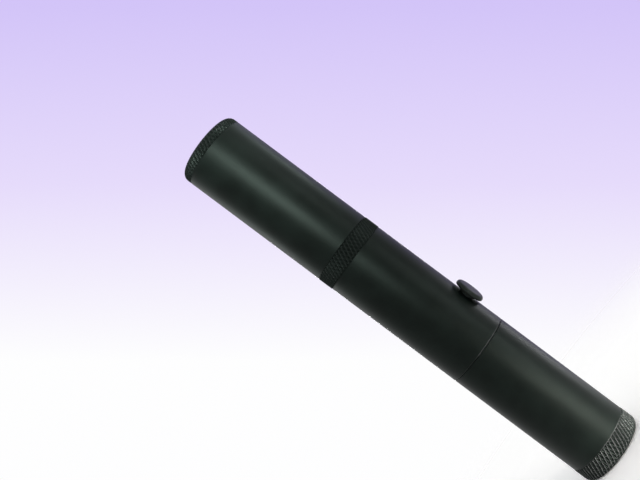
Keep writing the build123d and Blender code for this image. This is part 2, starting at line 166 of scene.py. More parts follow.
class Patches(NamedTuple):
    """Soft-edged patches: a noise, and the band of its levels over which they fade in."""

    noise: Noise
    band: Span


class Relief(NamedTuple):
    """How a height from 0 to 1 stands out, by its depth in millimetres and its strength."""

    depth: float
    strength: float


class Graph:
    """The node tree of a material or world."""

    def __init__(self, owner: bpy.types.Material | bpy.types.World) -> None:
        """Empties the owner's node tree.

        Args:
            owner: The material or world.
        """
        owner.use_nodes = True
        self.owner = owner
        self.tree = owner.node_tree
        self.tree.nodes.clear()

    def node(
        self, kind: str, settings: Settings | None = None, inputs: Sockets | None = None
    ) -> bpy.types.Node:
        """Adds a node.

        Args:
            kind: The node's type, without the word ShaderNode in front.
            settings: Its own settings, which are set first. "stops" are a ramp's (place, colour) pairs.
            inputs: Values or links of its sockets, by name or number.

        Returns:
            The node.
        """
        node = self.tree.nodes.new("ShaderNode" + kind)
        for name, value in (settings or {}).items():
            if name == "stops":
                self.set_stops(node.color_ramp, value)
            else:
                setattr(node, name, value)
        for key, value in (inputs or {}).items():
            socket = node.inputs[key]
            if isinstance(value, Signal):
                self.tree.links.new(value.socket, socket)
            else:
                socket.default_value = (*value, 1.0) if socket.type == "RGBA" else value
        return node

    @staticmethod
    def set_stops(ramp: bpy.types.ColorRamp, stops: Sequence[tuple[float, Colour]]) -> None:
        """Gives a ramp its stops, the first and last of which it already has.

        Args:
            ramp: The ramp.
            stops: The place and colour of each stop.
        """
        for place, _ in stops[1:-1]:
            ramp.elements.new(place)
        for element, (place, colour) in zip(ramp.elements, stops):
            element.position = place
            element.color = (*colour, 1.0)

    def signal(
        self,
        kind: str,
        settings: Settings | None = None,
        inputs: Sockets | None = None,
        output: int | str = 0,
    ) -> Signal:
        """Adds a node and gives one of its outputs."""
        return Signal(self, self.node(kind, settings, inputs).outputs[output])

    def place(self) -> Signal:
        """The point on the piece in the row frame, in millimetres."""
        point = self.signal("TexCoord", output="Object")
        return self.signal("VectorMath", {"operation": "SCALE"}, {0: point, "Scale": 1 / MM})

    def axes(self, vector: Signal) -> tuple[Signal, Signal, Signal]:
        """The x, y and z of a vector."""
        node = self.node("SeparateXYZ", None, {0: vector})
        return tuple(Signal(self, output) for output in node.outputs)

    def vector(self, x: Value, y: Value, z: Value) -> Signal:
        """A vector from its three parts."""
        return self.signal("CombineXYZ", None, {0: x, 1: y, 2: z})

    def along(self, vector: Signal, direction: Vector) -> Signal:
        """How far a vector reaches along a direction."""
        inputs = {0: vector, 1: tuple(direction)}
        return self.signal("VectorMath", {"operation": "DOT_PRODUCT"}, inputs, "Value")

    def noise(self, place: Signal, noise: Noise) -> Signal:
        """A noise from 0 to 1."""
        inputs = {"Vector": place, "Scale": noise.scale, "Detail": noise.detail}
        return self.signal("TexNoise", None, inputs)

    def patches(self, place: Signal, patches: Patches) -> Signal:
        """A mask that is 1 in the patches."""
        return self.rise(self.noise(place, patches.noise), *patches.band)

    def rise(self, value: Signal, low: float, high: float, start: float = 0.0, end: float = 1.0) -> Signal:
        """A smooth step from start to end as the value goes from low to high."""
        inputs = {"Value": value, "From Min": low, "From Max": high, "To Min": start, "To Max": end}
        return self.signal("MapRange", {"interpolation_type": "SMOOTHSTEP"}, inputs)

    def fall(self, value: Signal, low: float, high: float) -> Signal:
        """A smooth step from 1 to 0 as the value goes from low to high."""
        return self.rise(value, low, high, 1.0, 0.0)

    def mix(self, share: Value, first: Signal | Colour, second: Signal | Colour) -> Signal:
        """A colour between two others."""
        return self.signal("Mix", {"data_type": "RGBA"}, {0: share, 6: first, 7: second}, 2)

    def bump(self, height: Signal, relief: Relief) -> Signal:
        """A normal from a height between 0 and 1."""
        inputs = {"Height": height, "Distance": relief.depth * MM, "Strength": relief.strength}
        return self.signal("Bump", None, inputs)

    def around(self) -> tuple[Signal, Signal, Signal]:
        """Measures the point on the piece round the tube's axis.

        Returns:
            The distance from the axis, the height up it, and a point that runs only across turned lines.
        """
        x, y, z = self.axes(self.place())
        radius = (x * x + y * y) ** 0.5
        return radius, z, self.vector(radius, 0.0, z)

    def close(self, shader: Signal) -> None:
        """Ends the tree in a shader."""
        kind = "OutputWorld" if isinstance(self.owner, bpy.types.World) else "OutputMaterial"
        self.node(kind, None, {"Surface": shader})


# Finishes


@dataclass(frozen=True)
class Finish:
    """One surface finish, which dresses pieces by the record's slot it belongs to."""

    slot: Slot
    variant: str = field(default="", kw_only=True)

    def material(self) -> bpy.types.Material:
        """Makes the finish's material.

        Returns:
            The material, named after the slot.
        """
        material = bpy.data.materials.new("finish_" + self.slot.value + self.variant)
        graph = Graph(material)
        graph.close(graph.signal("BsdfPrincipled", {"distribution": "MULTI_GGX"}, self.surface(graph)))
        return material

    def surface(self, graph: Graph) -> Sockets:
        """The shader's socket values and links."""
        raise NotImplementedError


@dataclass(frozen=True)
class Plain(Finish):
    """A moulded or fired surface in two close shades, a little uneven in gloss and height."""

    base: Colour = (0.02, 0.02, 0.02)
    faded: Colour = (0.035, 0.035, 0.034)
    metallic: float = 0.0
    roughness: float = 0.5
    swing: float = 0.12
    cloud: Patches = Patches(Noise(0.5, 3.0), (0.25, 0.75))
    cloud_share: float = 0.5
    texture: Noise = Noise(7.0, 2.0)
    relief: Relief = Relief(0.02, 0.6)
    turned: bool = False

    def shade(self, graph: Graph, cloud: Signal) -> Signal:
        """The base colour, faded in clouds."""
        return graph.mix(graph.rise(cloud, *self.cloud.band), self.base, self.faded)

    def rough(self, cloud: Signal, fine: Signal) -> Signal:
        """The roughness, which swings with the clouds and a finer texture."""
        swing = self.cloud_share * cloud + (1 - self.cloud_share) * fine
        return self.roughness + self.swing * (swing - 0.5)

    def surface(self, graph: Graph) -> Sockets:
        """Paints the finish.

        Args:
            graph: The material's graph.

        Returns:
            The shader's socket values and links.
        """
        place = graph.place()
        cloud = graph.noise(place, self.cloud.noise)
        fine = graph.noise(graph.around()[2] if self.turned else place, self.texture)
        return {
            "Base Color": self.shade(graph, cloud),
            "Metallic": self.metallic,
            "Roughness": self.rough(cloud, fine),
            "Normal": graph.bump(fine, self.relief),
        }


@dataclass(frozen=True)
class Metal(Plain):
    """A bare or plated metal with turned lines and slow stains."""

    metallic: float = 1.0
    roughness: float = 0.26
    swing: float = 0.16
    cloud: Patches = Patches(Noise(0.35, 4.0), (0.3, 0.7))
    cloud_share: float = 0.6
    texture: Noise = Noise(12.0, 2.0)
    relief: Relief = Relief(0.01, 0.7)
    turned: bool = True


@dataclass(frozen=True)
class Anodised(Plain):
    """Black anodised aluminium: a satin dyed skin over blasted or turned metal, bright where it is worn."""

    base: Colour = (0.0014, 0.0024, 0.0020)
    faded: Colour = (0.0034, 0.0054, 0.0046)
    gloss: Colour = (0.82, 1.0, 0.91)
    bare: Colour = (0.42, 0.43, 0.44)
    bare_metallic: float = 0.9
    bare_polish: float = 0.06
    roughness: float = 0.45
    swing: float = 0.08
    specular: float = 0.155
    cloud: Patches = Patches(Noise(0.16, 3.0), (0.3, 0.7))
    cloud_share: float = 0.7
    texture: Noise = Noise(11.0, 3.0)
    texture_share: float = 0.7
    lathe: Noise = Noise(16.0, 1.0)
    relief: Relief = Relief(0.012, 0.6)
    rubs: Patches = Patches(Noise(0.9, 4.0), (0.38, 0.66))
    worn_heights: tuple[float, ...] = ()
    worn_reach: Span = (0.066, 0.22)
    worn_skin: Span = (10.72, 10.82)
    worn_side: float = 33.0
    worn_side_band: Span = (8.8, 10.6)
    worn_behind: float = 0.12
    worn_most: float = 0.22
    crest_wear: float = 0.0
    crest_start: float = 0.72
    valley_grime: float = 0.4
    valley_band: Span = (0.1, 0.75)

    def surface(self, graph: Graph) -> Sockets:
        """Paints the finish.

        Args:
            graph: The material's graph.

        Returns:
            The shader's socket values and links.
        """
        place = graph.place()
        radius, height, across = graph.around()
        cloud = graph.noise(place, self.cloud.noise)
        grain = graph.noise(place, self.texture)
        lathe = graph.noise(across, self.lathe)
        rough = self.rough(cloud, lathe)
        if self.crest_wear:
            crest = graph.signal("Attribute", {"attribute_name": KNURL_CREST}, output="Fac")
            rough = rough + self.valley_grime * graph.fall(crest, *self.valley_band)
            rubbed = graph.rise(crest, self.crest_start, 1.0) * self.crest_wear
        else:
            rubbed = self.seam_wear(graph, radius, height, place) * self.worn_most
        worn = rubbed * (0.5 + 0.5 * graph.patches(place, self.rubs))
        texture = grain * self.texture_share + lathe * (1 - self.texture_share)
        return {
            "Base Color": graph.mix(worn, self.shade(graph, cloud), self.bare),
            "Metallic": worn * self.bare_metallic,
            "Roughness": rough - worn * self.bare_polish,
            "Specular IOR Level": self.specular,
            "Specular Tint": self.gloss,
            "Normal": graph.bump(texture, self.relief),
        }

    def seam_wear(self, graph: Graph, radius: Signal, height: Signal, place: Signal) -> Signal:
        """Where hands have rubbed the dye from the edges at the seams, mostly on one side.

        Args:
            graph: The material's graph.
            radius: The distance from the axis.
            height: The height up the tube.
            place: The point on the piece.

        Returns:
            A mask that is 1 where it is rubbed most.
        """
        edge: Value = 0.0
        for seam in self.worn_heights:
            edge = graph.fall(abs(height - seam), *self.worn_reach) | edge
        turn = math.radians(self.worn_side)
        side = graph.along(place, Vector((math.sin(turn), -math.cos(turn), 0)))
        rubbed = self.worn_behind + (1 - self.worn_behind) * graph.rise(side, *self.worn_side_band)
        return edge * graph.rise(radius, *self.worn_skin) * rubbed


@dataclass(frozen=True)
class Board(Finish):
    """A glass-fibre circuit board with its weave under the solder mask, copper runs and tinned pads."""

    mask: Colour = (0.010, 0.110, 0.045)
    run: Colour = (0.022, 0.185, 0.075)
    tin: Colour = (0.62, 0.61, 0.58)
    roughness: float = 0.42
    run_polish: float = 0.1
    pad_polish: float = 0.08
    weave_pitch: float = 0.5
    run_pitch: float = 1.27
    run_band: Span = (0.55, 0.65)
    unbroken: Patches = Patches(Noise(1.0, 0.0), (0.46, 0.50))
    unbroken_stretch: Span = (0.8, 0.16)
    pads: Patches = Patches(Noise(0.75, 0.0), (0.70, 0.72))
    weave_height: float = 0.25
    run_height: float = 0.5
    pad_height: float = 0.6
    relief: Relief = Relief(0.035, 0.7)

    def surface(self, graph: Graph) -> Sockets:
        """Paints the finish.

        Args:
            graph: The material's graph.

        Returns:
            The shader's socket values and links.
        """
        x, y, z = graph.axes(graph.place())
        weave = self.wave(y, self.weave_pitch) * 0.5 + self.wave(z + x, self.weave_pitch) * 0.5
        wide, tall = self.unbroken_stretch
        unbroken = graph.patches(graph.vector(y * wide, 0.0, z * tall), self.unbroken)
        runs = graph.rise(self.wave(y, self.run_pitch), *self.run_band) * unbroken
        pads = graph.patches(graph.vector(y, x, z), self.pads)
        height = weave * self.weave_height + runs * self.run_height + pads * self.pad_height
        return {
            "Base Color": graph.mix(pads, graph.mix(runs, self.mask, self.run), self.tin),
            "Metallic": pads,
            "Roughness": self.roughness - self.run_polish * runs - self.pad_polish * pads,
            "Normal": graph.bump(height, self.relief),
        }

    @staticmethod
    def wave(along: Signal, pitch: float) -> Signal:
        """A triangle wave from 0 to 1 along one direction."""
        return along.maths("PINGPONG", along, pitch / 2) * (2 / pitch)


@dataclass(frozen=True)
class Sleeve(Finish):
    """A shrunk film sleeve in two plain bands, which ends at the can's bare metal rims."""

    low_rim: Span = (12.6, 12.7)
    high_rim: Span = (44.8, 44.9)
    face_rim: Span = (6.7, 6.8)
    band_low: Span = (20.0, 20.05)
    band_high: Span = (29.0, 29.05)
    band: Colour = (0.030, 0.230, 0.480)
    ground: Colour = (0.640, 0.680, 0.700)
    metal: Colour = (0.620, 0.620, 0.610)
    lathe: Noise = Noise(9.0, 1.0)
    ripple: Noise = Noise(0.6, 1.0)
    ripple_height: float = 0.2
    seam_width: float = 0.3
    seam_side: float = 0.1
    roughness: float = 0.24
    lathe_roughness: float = 0.12
    band_roughness: float = 0.06
    film_coat: float = 0.6
    seam_height: float = 0.6
    lathe_height: float = 0.25
    film_height: float = 0.5
    relief: Relief = Relief(0.06, 0.6)

    def surface(self, graph: Graph) -> Sockets:
        """Paints the finish.

        Args:
            graph: The material's graph.

        Returns:
            The shader's socket values and links.
        """
        place = graph.place()
        radius, height, across = graph.around()
        x, y, _ = graph.axes(place)
        lines = graph.noise(across, self.lathe)
        wavy = height + self.ripple_height * graph.noise(place, self.ripple)
        film = graph.rise(wavy, *self.low_rim) * graph.fall(wavy, *self.high_rim)
        film = film | graph.rise(radius, *self.face_rim)
        band = graph.rise(height, *self.band_low) * graph.fall(height, *self.band_high)
        seam = graph.fall(abs(y), 0.0, self.seam_width) * graph.fall(x, 0.0, self.seam_side)
        stand = seam * self.seam_height + lines * self.lathe_height + film * self.film_height
        return {
            "Base Color": graph.mix(film, self.metal, graph.mix(band, self.ground, self.band)),
            "Metallic": 1.0 - film,
            "Roughness": self.roughness + self.lathe_roughness * lines + self.band_roughness * band,
            "Coat Weight": film * self.film_coat,
            "Normal": graph.bump(stand, self.relief),
        }


@dataclass(frozen=True)
class Glass(Finish):
    """Polished glass or crystal with a faint coating tint and a few sleeks."""

    clear: Colour = (0.96, 0.98, 0.97)
    tinted: Colour = (0.90, 0.95, 0.97)
    index: float = 1.52
    roughness: float = 0.015
    sleek: float = 0.035
    cloud: Noise = Noise(0.4, 2.0)
    sleeks: Patches = Patches(Noise(2.6, 5.0), (0.62, 0.75))

    def surface(self, graph: Graph) -> Sockets:
        """Paints the finish.

        Args:
            graph: The material's graph.

        Returns:
            The shader's socket values and links.
        """
        place = graph.place()
        return {
            "Base Color": graph.mix(graph.noise(place, self.cloud), self.clear, self.tinted),
            "Roughness": self.roughness + self.sleek * graph.patches(place, self.sleeks),
            "IOR": self.index,
            "Transmission Weight": 1.0,
        }


FINISHES: tuple[Finish, ...] = (
    Anodised(Slot.BARREL, worn_heights=WORN_SEAMS),
    Anodised(
        Slot.KNURL, base=(0.0020, 0.0033, 0.0028), faded=(0.0038, 0.0058, 0.0050),
        roughness=0.44, crest_wear=0.03,
    ),
    Anodised(
        Slot.BUTTON, base=(0.0085, 0.0098, 0.0088), faded=(0.0130, 0.0145, 0.0130),
        roughness=0.46, specular=0.2, worn_most=0.0,
    ),
    Metal(Slot.BRASS, base=(0.72, 0.50, 0.22), faded=(0.55, 0.36, 0.14)),
    Metal(Slot.COPPER, base=(0.78, 0.40, 0.25), faded=(0.56, 0.25, 0.14)),
    Metal(Slot.STEEL, base=(0.72, 0.71, 0.68), faded=(0.56, 0.55, 0.52), roughness=0.2),
    Metal(Slot.WIRE, base=(0.60, 0.60, 0.59), faded=(0.40, 0.40, 0.40), texture=Noise(5.0, 2.0)),
    Plain(Slot.RUBBER, roughness=0.62, texture=Noise(5.0, 2.0)),
    Sleeve(Slot.SLEEVE),
    Plain(Slot.INSULATOR, base=(0.62, 0.61, 0.57), faded=(0.52, 0.50, 0.45), roughness=0.45),
    Board(Slot.BOARD),
    Plain(Slot.CHIP, roughness=0.55, texture=Noise(12.0, 2.0)),
    Plain(Slot.TRIMMER, base=(0.012, 0.075, 0.32), faded=(0.025, 0.11, 0.38), roughness=0.38),
    Plain(Slot.CERAMIC, base=(0.30, 0.20, 0.12), faded=(0.36, 0.26, 0.17)),
    Glass(Slot.GLASS),
    Glass(Slot.FILTER, clear=(0.30, 0.62, 0.56), tinted=(0.24, 0.55, 0.52)),
    Glass(Slot.CRYSTAL, clear=(0.86, 0.80, 0.93), tinted=(0.80, 0.74, 0.90), index=1.8),
)

HANDLED_KNURL = Anodised(
    Slot.KNURL, variant="_handled", base=(0.0030, 0.0044, 0.0038), faded=(0.0052, 0.0070, 0.0063),
    roughness=0.46, specular=0.18, crest_wear=0.2, crest_start=0.6,
)


class Wardrobe:
    """The finished materials, one for each slot."""

    def __init__(self, finishes: Iterable[Finish]) -> None:
        """Makes the materials."""
        self.materials = {finish.slot.value: finish.material() for finish in finishes}

    def dress(self, piece: bpy.types.Object, slot: Slot, finish: Finish | None = None) -> None:
        """Gives a new piece the material of a slot, or a finish of its own."""
        piece.data.materials.append(finish.material() if finish else self.materials[slot.value])

    def dress_node(self, node: bpy.types.Object) -> None:
        """Swaps the materials of a CAD node for the finished ones of the same slots."""
        for holder in node.material_slots:
            holder.material = self.materials[holder.material.name.split(".")[0]]


# Workshop


class Corner(NamedTuple):
    """A corner of a turned outline: its radius, its height and how far it is rounded."""

    radius: float
    height: float
    rounding: float = 0.0


Outline = Sequence[tuple[float, ...]]
Rim = list[bmesh.types.BMEdge]


def add_object(name: str, data: bpy.types.ID) -> bpy.types.Object:
    """Adds an object to the scene.

    Args:
        name: Its name.
        data: Its mesh, lamp or camera.

    Returns:
        The object.
    """
    item = bpy.data.objects.new(name, data)
    bpy.context.scene.collection.objects.link(item)
    return item


def to_data(name: str, mesh: bmesh.types.BMesh) -> bpy.types.Mesh:
    """Hands a bmesh over to mesh data and frees it.

    Args:
        name: The name of the data.
        mesh: The bmesh.

    Returns:
        The data.
    """
    data = bpy.data.meshes.new(name)
    mesh.to_mesh(data)
    mesh.free()
    return data


def to_metres(mesh: bmesh.types.BMesh) -> None:
    """Brings a mesh from millimetres to metres."""
    bmesh.ops.scale(mesh, vec=(MM, MM, MM), verts=mesh.verts[:])


class Workpiece:
    """A piece in the making, in millimetres."""

    def __init__(self, name: str) -> None:
        """Starts an empty mesh."""
        self.name = name
        self.mesh = bmesh.new()

    def turn(self, outline: Outline, steps: int = TUBE_STEPS, round_steps: int = 4) -> None:
        """Turns an outline round the tube's axis.

        Args:
            outline: The values of its corners. It is closed unless it starts and ends on the axis.
            steps: The steps of the full turn.
            round_steps: The steps of each rounded corner.
        """
        mesh = bmesh.new()
        corners = [Corner(*values) for values in outline]
        verts = [mesh.verts.new((corner.radius, 0, corner.height)) for corner in corners]
        ends = verts[1:] + verts[:1]
        if corners[0].radius == 0 and corners[-1].radius == 0:
            ends = verts[1:]
        for pair in zip(verts, ends):
            mesh.edges.new(pair)
        for rounding in sorted({corner.rounding for corner in corners} - {0.0}):
            bmesh.ops.bevel(
                mesh,
                geom=[vert for vert, corner in zip(verts, corners) if corner.rounding == rounding],
                offset=rounding,
                segments=round_steps,
                profile=0.5,
                affect="VERTICES",
                material=-1,
            )
        self.spin(mesh, steps)

    def spin(self, mesh: bmesh.types.BMesh, steps: int) -> None:
        """Spins an outline right round the tube's axis and takes it in.

        Args:
            mesh: The outline's verts and edges.
            steps: The steps of the turn.
        """
        bmesh.ops.spin(
            mesh,
            geom=mesh.verts[:] + mesh.edges[:],
            cent=(0, 0, 0),
            axis=(0, 0, 1),
            angle=math.tau,
            steps=steps,
            use_merge=True,
        )
        self.add(mesh)

    def wind(self, section: Outline, pitch: float, turns: float, steps: int, slope: float = 0.0) -> None:
        """Winds a section round the tube's axis, as a thread or a coil with closed ends.

        Args:
            section: The radius and height of each corner of the section.
            pitch: The rise of each turn.
            turns: How many turns it takes.
            steps: The steps of each turn.
            slope: How far it widens for each millimetre of height.
        """
        mesh = bmesh.new()
        face = mesh.faces.new([mesh.verts.new((radius, 0, height)) for radius, height in section])
        bmesh.ops.spin(
            mesh,
            geom=[face],
            cent=(0, 0, 0),
            axis=(0, 0, 1),
            dvec=(0, 0, pitch / steps),
            angle=math.tau * turns,
            steps=round(turns * steps),
        )
        start = min(height for _, height in section)
        for vert in mesh.verts:
            radius = vert.co.xy.length
            vert.co.xy *= (radius + slope * (vert.co.z - start)) / radius
        self.add(mesh)

    def add(self, mesh: bmesh.types.BMesh) -> None:
        """Merges a mesh's doubles, turns its faces outwards and takes it in.

        Args:
            mesh: The mesh, which is freed.
        """
        bmesh.ops.remove_doubles(mesh, verts=mesh.verts[:], dist=MERGE_GAP)
        bmesh.ops.recalc_face_normals(mesh, faces=mesh.faces[:])
        carrier = to_data("carrier", mesh)
        self.mesh.from_mesh(carrier)
        bpy.data.meshes.remove(carrier)

    def move(self, matrix: Matrix) -> None:
        """Moves all that has been made so far."""
        bmesh.ops.transform(self.mesh, matrix=matrix, verts=self.mesh.verts[:])

    def finish(
        self, body: Body, slot: Slot, wardrobe: Wardrobe, replaced: str, finish: Finish | None = None
    ) -> bpy.types.Object:
        """Brings the piece to metres, shades it smooth between sharp edges and places it in the frame.

        Args:
            body: The body that it moves with.
            slot: The slot of its finish.
            wardrobe: The finished materials.
            replaced: The CAD node that it stands for.
            finish: A finish of its own, where the slot's isn't right for it.

        Returns:
            The finished object.
        """
        to_metres(self.mesh)
        for face in self.mesh.faces:
            face.smooth = True
        for edge in self.mesh.edges:
            edge.smooth = not edge.is_manifold or edge.calc_face_angle(0.0) < SHARP_ANGLE
        piece = add_object(self.name, to_data(self.name, self.mesh))
        wardrobe.dress(piece, slot, finish)
        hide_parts(replaced)
        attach(piece, body.value)
        logger.info("%s: %d faces on %s", self.name, len(piece.data.polygons), body.value)
        return piece


@dataclass
class Knurl:
    """The diamond knurl of a ring: crossing ridges with small flats, and a pit in each diamond."""

    low: float
    length: float
    crest: float
    low_corner: float = 0.0
    high_corner: float = 0.0
    pitch: float = 1.2
    nominal_radius: float = 11.0
    row_height: float = 1.15
    depth: float = 0.46
    land: float = 0.14
    cuts: int = 2
    lead_in: float = 0.12
    cross_height: float = 0.75
    second_rub: float = 0.6
    rub_fade: float = 3.0
    end_row: float = 1e-3

    def rows(self) -> tuple[int, int, int]:
        """Divides the ring into rows.

        Returns:
            The rows of the low corner, the straight part and the high corner.
        """
        corners = (self.low_corner, self.high_corner)
        low_rows, high_rows = (round(corner * QUARTER_TURN / self.row_height) for corner in corners)
        return low_rows, max(1, round((self.length - sum(corners)) / self.row_height)), high_rows

    def rim_point(self, row: float) -> tuple[float, float, float]:
        """Follows the crest along the ring's outline.

        Args:
            row: The place up the ring.

        Returns:
            The crest's radius and height, and how far its normal leans from the radius.
        """
        low_rows, straight_rows, high_rows = self.rows()
        low_bend, high_bend = self.low + self.low_corner, self.low + self.length - self.high_corner
        past = row - low_rows - straight_rows
        if row < low_rows:
            corner, bend, lean = self.low_corner, low_bend, QUARTER_TURN * (row / low_rows - 1)
        elif past > 0:
            corner, bend, lean = self.high_corner, high_bend, QUARTER_TURN * past / high_rows
        else:
            return self.crest, low_bend + (high_bend - low_bend) * (row - low_rows) / straight_rows, 0.0
        return self.crest - corner * (1 - math.cos(lean)), bend + corner * math.sin(lean), lean

    def shape(self, column: float, row: float) -> tuple[float, float]:
        """How the knurl stands at a half-pitch column and row.

        Args:
            column: The place round the ring.
            row: The place up the ring.

        Returns:
            The height, from 0 in a pit to 1 on a ridge, and how far fingers that unscrew the ring rub it.
        """
        ridges = ((column + row + 1) / 2, (column - row + 1) / 2)
        across, along = (2 * abs(ridge - round(ridge)) for ridge in ridges)
        height = min(1.0, max(1 - along, self.cross_height * (1 - across)) / (1 - self.land))
        return height, max(1 - along, self.second_rub * (1 - across))

    def band(self, mesh: bmesh.types.BMesh) -> tuple[Rim, Rim]:
        """Makes the knurled rim as an open band.

        Args:
            mesh: The empty mesh that takes it.

        Returns:
            The edges of its low and high rims.
        """
        columns = 2 * round(math.tau * self.nominal_radius / self.pitch)
        low_rows, _, high_rows = self.rows()
        rows = sum(self.rows())
        crest_layer = mesh.verts.layers.float.new(KNURL_CREST)
        bmesh.ops.create_grid(mesh, x_segments=columns, y_segments=rows, size=1.0)
        bmesh.ops.poke(mesh, faces=mesh.faces[:])
        bmesh.ops.subdivide_edges(mesh, edges=mesh.edges[:], cuts=self.cuts, use_grid_fill=True)
        for vert in mesh.verts:
            column, row = (vert.co.x + 1) / 2 * columns, (vert.co.y + 1) / 2 * rows
            height, rub = self.shape(column, row)
            low_fade = row / low_rows if low_rows else 1.0
            high_fade = (rows - row) / high_rows if high_rows else 1.0
            fade = min(1.0, low_fade, high_fade)
            radius, level, lean = self.rim_point(row)
            sink = self.depth * (1 - height) * fade
            low_end, high_end = row < self.end_row, row > rows - self.end_row
            if (low_end and not low_rows) or (high_end and not high_rows):
                sink = max(sink, self.lead_in)
            turn = math.pi * column / (columns / 2)
            radius -= sink * math.cos(lean)
            vert[crest_layer] = rub * min(1.0, fade * self.rub_fade)
            vert.co = (radius * math.cos(turn), radius * math.sin(turn), level - sink * math.sin(lean))
        bmesh.ops.remove_doubles(mesh, verts=mesh.verts[:], dist=MERGE_GAP)
        rims = [edge for edge in mesh.edges if edge.is_boundary]
        middle = self.low + self.length / 2
        low_rim = [edge for edge in rims if edge.verts[0].co.z < middle]
        high_rim = [edge for edge in rims if edge.verts[0].co.z > middle]
        return low_rim, high_rim

    def ring(self, name: str, below: Outline, above: Outline) -> Workpiece:
        """Makes the whole ring.

        Args:
            name: Its name.
            below: The outline from the low rim inwards.
            above: The outline from the high rim inwards, to where the other one ends or to the axis.

        Returns:
            The closed ring.
        """
        piece = Workpiece(name)
        low_rim, high_rim = self.band(piece.mesh)
        inner = carry(piece.mesh, low_rim, below) + carry(piece.mesh, high_rim, above)
        if inner:
            bmesh.ops.bridge_loops(piece.mesh, edges=inner)
        bmesh.ops.recalc_face_normals(piece.mesh, faces=piece.mesh.faces[:])
        return piece


def carry(mesh: bmesh.types.BMesh, rim: Rim, outline: Outline) -> Rim:
    """Extrudes an open rim through the corners of an outline.

    Args:
        mesh: The mesh that holds the rim.
        rim: The rim's edges.
        outline: Its corners from the rim on. One on the axis closes it in a pole.

    Returns:
        The last rim's edges, which are none where it closed in a pole.
    """
    for radius, height in outline:
        fresh = bmesh.ops.extrude_edge_only(mesh, edges=rim)["geom"]
        verts = {item for item in fresh if isinstance(item, bmesh.types.BMVert)}
        rim = [item for item in fresh if isinstance(item, bmesh.types.BMEdge) and verts >= {*item.verts}]
        for vert in verts:
            flat = vert.co.xy.normalized() * radius
            vert.co = (flat.x, flat.y, height)
        if radius == 0:
            bmesh.ops.pointmerge(mesh, verts=list(verts), merge_co=(0, 0, height))
            return []
    return rim


# Sub-assemblies


@dataclass(frozen=True)
class ThreadForm:
    """The spigots' V thread, drawn as a ridge on the core."""

    crest: float = 9.3
    core: float = 8.78
    pitch: float = 1.0
    flat: float = 0.12
    root: float = 0.9
    bury: float = 0.04
    collar: float = 0.4
    relief: float = 0.7
    start: float = 0.6
    stop: float = 0.25
    lead: float = 0.3
    lead_depth: float = 0.3
    steps: int = 72

    def shank(self, root: float, tip: float) -> Outline:
        """Draws a spigot from the end of its plain collar, along the thread's core, to its tip.

        Args:
            root: The height where the spigot starts.
            tip: The height where it ends.

        Returns:
            Its outline.
        """
        way = math.copysign(1.0, tip - root)
        return (
            (self.crest, root + self.collar * way), (self.core, root + self.relief * way),
            (self.core, tip - self.lead * way), (self.core - self.lead_depth, tip),
        )

    def spigot(self, root: float, tip: float, bore: float) -> Outline:
        """A ring's spigot, from its shoulder to the mouth of its bore."""
        return ((KNURL_SHOULDER, root), (self.crest, root), *self.shank(root, tip), (bore, tip))

    def cut(self, piece: Workpiece, root: float, tip: float) -> None:
        """Gives a spigot its thread.

        Args:
            piece: The piece with the spigot.
            root: The height where the spigot starts.
            tip: The height where it ends.
        """
        way = math.copysign(1.0, tip - root)
        low, high = sorted((root + self.start * way, tip - self.stop * way))
        base, middle = self.core - self.bury, low + self.root / 2
        section = (
            (base, low), (self.crest, middle - self.flat / 2),
            (self.crest, middle + self.flat / 2), (base, low + self.root),
        )
        turns = math.floor((high - low - self.root) / self.pitch * self.steps) / self.steps
        piece.wind(section, self.pitch, turns, self.steps)


@dataclass(frozen=True)
class Coil:
    """A compression spring of round wire, wound round the tube's axis from its foot up."""

    wire: float
    foot: float
    head: float
    low: float
    high: float
    steps: int
    turns: int = 4
    sides: int = 10

    def wind(self, name: str) -> Workpiece:
        """Winds the spring.

        Args:
            name: Its name.

        Returns:
            The spring.
        """
        centre, half = self.low + self.wire / 2, self.wire / 2
        around = [math.tau * side / self.sides for side in range(self.sides)]
        section = [(self.foot + half * math.cos(t), centre + half * math.sin(t)) for t in around]
        rise = self.high - self.low - self.wire
        piece = Workpiece(name)
        piece.wind(section, rise / self.turns, self.turns, self.steps, (self.head - self.foot) / rise)
        return piece


@dataclass
class Assembly:
    """A sub-assembly of the pointer, with the finished materials that dress it."""

    wardrobe: Wardrobe


